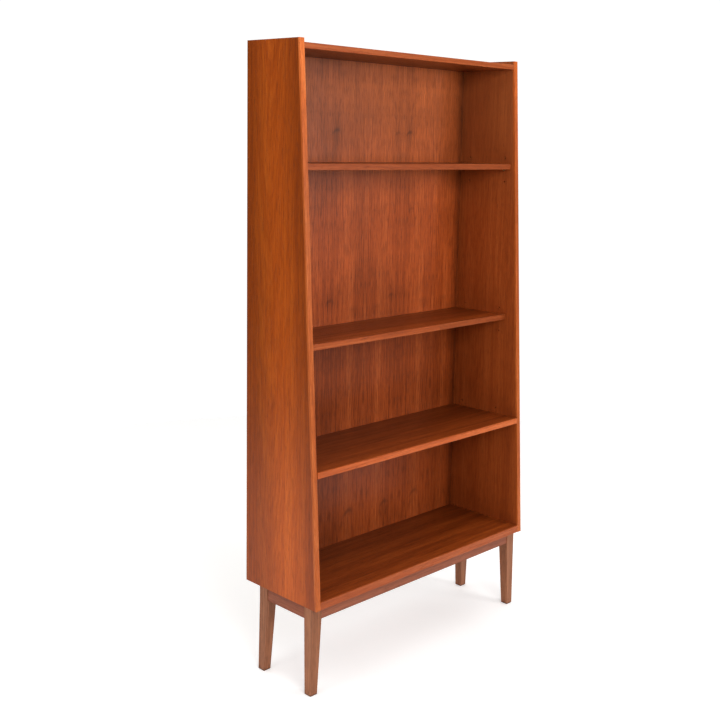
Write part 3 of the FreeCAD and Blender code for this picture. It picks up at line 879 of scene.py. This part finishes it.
@dataclass
class Case:
    """The sides, top, bottom and back with the strips on their front edges."""

    leaf_width: float = 0.155
    # Height at which the painted sheen at the head begins.
    head_sheen_above: float = 1.2
    # Height under which the left side gets painted light from the floor.
    left_floor_bounce_below: float = 0.80
    # Painted highlight on the side strips towards the head.
    head_highlight: float = 0.42

    def dress(self) -> None:
        """Dresses every piece of the case."""
        self.dress_sides()
        self.dress_cross_panels()
        self.dress_back()

    def dress_sides(self) -> None:
        """Dresses the two sides and their strips."""
        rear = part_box("left_side_panel")[1].y
        left = TeakVeneer(
            "left_side_teak", Grain(Axis.Z, Axis.Y, 2.3), TEAK, Heart(0.045, 0.085, strength=0.95),
            floor_bounce_below=self.left_floor_bounce_below, bare_edge=rear, gloss=0.18)
        # The right side's inner face takes the palette with painted sheen.
        right = TeakVeneer(
            "right_side_teak", Grain(Axis.Z, Axis.Y, 7.9), TEAK_INSIDE_SHEEN, Heart(0.06, 0.06, glow=0.10),
            head_sheen_above=self.head_sheen_above, bare_edge=rear)
        dress("left_side_panel", left.make())
        dress("right_side_panel", right.make())
        for number, side in enumerate(Side):
            grain = Grain(Axis.Z, Axis.X, 11.0 + number, True)
            strip = SolidTeak(f"{side.value}_side_edge_teak", grain, TEAK_EDGE, head_highlight=self.head_highlight)
            dress(f"{side.value}_side_lipping", strip.make())

    def dress_cross_panels(self) -> None:
        """Dresses the top and bottom panels and their strips."""
        for number, name in enumerate(("top", "bottom")):
            low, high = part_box(f"{name}_panel")
            # Each board gets painted shade towards its rear.
            board = TeakVeneer(f"{name}_panel_teak", Grain(Axis.X, Axis.Y, 21.0 + number), TEAK_BOARD,
                               rear_shade=(low.y, high.y))
            strip = SolidTeak(f"{name}_edge_teak", Grain(Axis.X, Axis.Z, 31.0 + number, True), SHELF_EDGE)
            dress(f"{name}_panel", board.make())
            dress(f"{name}_lipping", strip.make())

    def dress_back(self) -> None:
        """Dresses the back panel in mirrored leaves."""
        low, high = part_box("back_panel")
        curls = (
            (-0.129, 1.515, 0.016, 1.0),
            (0.129, 1.513, 0.014, 0.55),
            (0.181, 1.515, 0.015, 0.95),
            (0.198, 1.283, 0.012, 0.5),
            (0.031, 1.283, 0.010, 0.4),
            (-0.149, 1.020, 0.015, 0.7),
            (0.111, 1.018, 0.015, 0.7),
            (-0.245, 0.345, 0.022, 0.7),
            (-0.059, 0.356, 0.022, 0.9),
            (0.101, 0.352, 0.018, 0.8),
            (0.241, 0.356, 0.020, 0.8),
        )
        middle = (low.y + high.y) / 2
        finish = BookMatchedBack("back_teak", self.leaf_width, middle, curls, self.head_sheen_above)
        dress("back_panel", finish.make())


@dataclass
class AdjustableShelf:
    """A loose shelf with its front strip and the pins that it lies on.

    Attributes:
        level: which shelf it is.
        seed: seed of its figure.
        edge_strength: lightness of its front strip.
        scarf: where along the strip its glued joint is, if it has one.
        pin_steps: corners round a pin.
        dome: height of a pin's domed end.
        dome_parts: corners along that dome.
    """

    level: Level
    seed: float
    edge_strength: float
    scarf: float | None = None
    pin_steps: int = 40
    dome: float = 0.0009
    dome_parts: int = 5

    def dress(self) -> None:
        """Dresses the board and its strip."""
        name = self.level.value
        low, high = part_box(f"{name}_shelf")
        # The board gets painted shade towards its rear.
        board = TeakVeneer(f"{name}_shelf_teak", Grain(Axis.X, Axis.Y, self.seed), TEAK_BOARD,
                           rear_shade=(low.y, high.y))
        scarf = None if self.scarf is None else (self.scarf, (low.z + high.z) / 2)
        strip = SolidTeak(f"{name}_shelf_edge_teak", Grain(Axis.X, Axis.Z, self.seed + 5.0, True), SHELF_EDGE,
                          self.edge_strength, scarf=scarf)
        dress(f"{name}_shelf", board.make())
        dress(f"{name}_shelf_lipping", strip.make())

    def build_pins(self, brass: bpy.types.Material) -> None:
        """Builds turned pins with domed ends in place of the plain ones.

        Args:
            brass: their finish.
        """
        name = self.level.value
        for side in Side:
            node = f"{name}_shelf_{side.value}_pins"
            shape = bmesh.new()
            for low, high in islands(node):
                centre = Vector((low.x, (low.y + high.y) / 2, (low.z + high.z) / 2))
                radius = (high.z - low.z) / 2
                outline = rounded(radius, 0.0, high.x - low.x, self.dome, self.dome_parts)
                lathe(shape, outline, centre, Vector((1, 0, 0)), self.pin_steps)
            piece = new_piece(f"{node}_turned", shape, brass, f"{name}_{side.value}_pin_pair")
            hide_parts(node)


@dataclass
class Base:
    """The low frame of four aprons and four tapered legs."""

    scuffed_height: float = 0.035
    leg_strength: float = 1.02

    def dress(self) -> None:
        """Dresses the aprons and legs."""
        for number, name in enumerate(("front", "rear")):
            grain = Grain(Axis.X, Axis.Z, 41.0 + number, True)
            dress(f"{name}_apron", SolidTeak(f"{name}_apron_teak", grain, TEAK_APRON).make())
            for side in Side:
                seed = 51.0 + 2 * number + (side is Side.RIGHT)
                leg = SolidTeak(
                    f"{name}_{side.value}_leg_teak", Grain(Axis.Z, Axis.X, seed, True), TEAK_FRAME,
                    strength=self.leg_strength, worn_below=self.scuffed_height)
                dress(f"{name}_{side.value}_leg", leg.make())
        for number, side in enumerate(Side):
            grain = Grain(Axis.Y, Axis.Z, 45.0 + number, True)
            dress(f"{side.value}_apron", SolidTeak(f"{side.value}_apron_teak", grain, TEAK_APRON).make())


@dataclass(frozen=True)
class CrossHeadScrews:
    """Wood screws with a thread, a pan head and a cross recess.

    The length, the head's width and the place of each come from the plain screw that it replaces.

    Attributes:
        node: the plain screws that they replace.
        axis: the axis along which they lie.
        points_up: whether the point is at the higher end of that axis.
        head_height: height of the head.
        pitch: distance from one turn of the thread to the next.
        steps: corners round a screw.
        recess_rings: rings of the outline that form the cross recess.
    """

    node: str
    axis: Axis
    points_up: bool
    head_height: float
    pitch: float
    steps: int = 32
    recess_rings: int = 2

    def outline(self, length: float, head: float) -> list[tuple[float, float]]:
        """The half section of one screw, from its point to the floor of its recess.

        Args:
            length: whole length of the screw.
            head: radius of its head.

        Returns:
            Place along the axis and radius of each ring.
        """
        shank, tall = head / 2, self.head_height
        under = length - tall
        rings = [(0.0, 0.0), (0.0004, shank * 0.35), (self.pitch * 1.5, shank * 0.8)]
        crest = self.pitch * 2.0
        while crest + self.pitch < under:
            rings += [(crest, shank), (crest + self.pitch / 2, shank * 0.76)]
            crest += self.pitch
        rings += [
            (under, shank),
            (under, head * 0.94),
            (under + tall * 0.12, head),
            (under + tall * 0.40, head),
            (under + tall * 0.70, head * 0.92),
            (under + tall * 0.92, head * 0.74),
            (length, head * 0.56),
        ]
        recess = [(length, head * 0.50), (length - tall * 0.60, head * 0.36), (length - tall * 0.64, 0.0)]
        return rings + recess

    def build(self, steel: bpy.types.Material, body: str) -> None:
        """Builds the screws in place of the plain ones.

        Args:
            steel: their finish.
            body: the CAD body that they move with.
        """
        shape = bmesh.new()
        for low, high in islands(self.node):
            middle = (low + high) / 2
            length = high[self.axis.value] - low[self.axis.value]
            point, towards_head = middle.copy(), Vector((0.0, 0.0, 0.0))
            point[self.axis.value] = high[self.axis.value] if self.points_up else low[self.axis.value]
            towards_head[self.axis.value] = -1.0 if self.points_up else 1.0
            outline = self.outline(length, (high.x - low.x) / 2)
            lathe(shape, outline, point, towards_head, self.steps, self.recess_rings)
        piece = new_piece(f"{self.node}_threaded", shape, steel, body)
        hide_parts(self.node)


@dataclass
class Fixings:
    """The dowels and the screws."""

    body: str = "case"

    def build(self) -> None:
        """Dresses the dowels and builds the screws."""
        dress("case_dowels", PlainBeech("dowel_beech", Grain(Axis.X, Axis.Y, 61.0)).make())
        steel = ZINC_STEEL.make()
        for screws in (CrossHeadScrews("base_screws", Axis.Z, True, 0.0030, 0.0016),
                       CrossHeadScrews("back_panel_screws", Axis.Y, False, 0.0018, 0.0012)):
            screws.build(steel, self.body)


# ---------------------------------------------------------------- studio


@dataclass(frozen=True)
class Softbox:
    """A soft rectangular lamp that looks at a point."""

    name: str
    spot: tuple[float, float, float]
    aim: tuple[float, float, float]
    width: float
    height: float
    watts: float

    def build(self) -> None:
        """Hangs the lamp."""
        lamp = bpy.data.lights.new(self.name, "AREA")
        lamp.shape = "RECTANGLE"
        lamp.size, lamp.size_y = self.width, self.height
        lamp.energy = self.watts
        holder = bpy.data.objects.new(self.name, lamp)
        holder.location = self.spot
        direction = Vector(self.aim) - Vector(self.spot)
        holder.rotation_euler = direction.to_track_quat("-Z", "Y").to_euler()
        bpy.context.scene.collection.objects.link(holder)


@dataclass
class Studio:
    """Pale floor, white surroundings and soft lamps."""

    floor_radius: float = 2.7
    surround_seen: float = 1.05
    surround_light: float = 0.07
    lamps: tuple[Softbox, ...] = (
        Softbox("front_softbox", (-1.2, -2.4, 2.05), (0.1, 0.0, 1.4), 1.5, 0.9, 42.0),
        Softbox("left_softbox", (-3.4, 0.1, 0.9), (-0.4, 0.0, 0.8), 1.4, 1.8, 25.0),
        Softbox("right_panel", (1.6, -3.2, 1.5), (0.0, 0.0, 0.7), 1.3, 1.0, 42.0),
        Softbox("overhead_softbox", (0.0, 0.6, 4.2), (0.0, 0.6, 0.0), 9.0, 9.0, 340.0),
    )

    def build(self) -> None:
        """Builds the floor, the surroundings and the lamps."""
        self.build_floor()
        self.build_surround()
        for lamp in self.lamps:
            lamp.build()
        bpy.context.scene.view_settings.view_transform = "Standard"

    def build_floor(self) -> None:
        """Lays a round floor under the bookcase."""
        shape = bmesh.new()
        bmesh.ops.create_circle(shape, cap_ends=True, segments=96, radius=self.floor_radius)
        mesh = bpy.data.meshes.new("floor")
        shape.to_mesh(mesh)
        shape.free()
        mesh.materials.append(PaleFloor().make())
        floor = bpy.data.objects.new("floor", mesh)
        bpy.context.scene.collection.objects.link(floor)

    def build_surround(self) -> None:
        """Makes the surroundings white to the eye and softer as a light."""
        world = bpy.data.worlds.new("white_room")
        bpy.context.scene.world = world
        world.use_nodes = True
        nodes, links = world.node_tree.nodes, world.node_tree.links
        nodes.clear()
        path = nodes.new("ShaderNodeLightPath")
        seen = nodes.new("ShaderNodeBackground")
        glow = nodes.new("ShaderNodeBackground")
        seen.inputs["Strength"].default_value = self.surround_seen
        glow.inputs["Strength"].default_value = self.surround_light
        for light in (seen, glow):
            light.inputs["Color"].default_value = (1.0, 1.0, 1.0, 1.0)
        blend = nodes.new("ShaderNodeMixShader")
        links.new(path.outputs["Is Camera Ray"], blend.inputs[0])
        links.new(glow.outputs[0], blend.inputs[1])
        links.new(seen.outputs[0], blend.inputs[2])
        links.new(blend.outputs[0], nodes.new("ShaderNodeOutputWorld").inputs[0])


@dataclass(frozen=True)
class ViewingCamera:
    """The camera, turned by yaw, pitch and roll from looking along +Y."""

    spot: tuple[float, float, float] = (-2.25495, -2.09316, 1.47623)
    yaw: float = 0.78587
    pitch: float = -0.15347
    roll: float = 0.01836
    lens: float = 52.946
    sensor: float = 36.0
    shift: float = -0.06944
    near: float = 0.05
    far: float = 60.0

    def build(self) -> None:
        """Sets the camera up and makes it the scene's own."""
        level = Vector((math.cos(self.yaw), -math.sin(self.yaw), 0.0))
        ahead = Vector((math.sin(self.yaw) * math.cos(self.pitch), math.cos(self.yaw) * math.cos(self.pitch),
                        math.sin(self.pitch)))
        upward = level.cross(ahead)
        across = math.cos(self.roll) * level + math.sin(self.roll) * upward
        over = -math.sin(self.roll) * level + math.cos(self.roll) * upward
        data = bpy.data.cameras.new("camera")
        data.lens, data.sensor_width = self.lens, self.sensor
        data.shift_y = self.shift
        data.clip_start, data.clip_end = self.near, self.far
        camera = bpy.data.objects.new("camera", data)
        turn = Matrix((across, over, -ahead)).transposed()
        camera.matrix_world = Matrix.Translation(self.spot) @ turn.to_4x4()
        bpy.context.scene.collection.objects.link(camera)
        bpy.context.scene.camera = camera


def main() -> None:
    """Builds and dresses the bookcase, then sets up the studio and the camera."""
    logging.basicConfig(level=logging.INFO, format="%(name)s: %(message)s")
    Case().dress()
    brass = PIN_BRASS.make()
    shelves = (
        AdjustableShelf(Level.UPPER, seed=71.0, edge_strength=0.86),
        AdjustableShelf(Level.MIDDLE, seed=82.0, edge_strength=0.98, scarf=0.116),
        AdjustableShelf(Level.LOWER, seed=93.0, edge_strength=1.36),
    )
    for shelf in shelves:
        shelf.dress()
        shelf.build_pins(brass)
    Base().dress()
    Fixings().build()
    Studio().build()
    ViewingCamera().build()


if __name__ == "__main__":
    main()
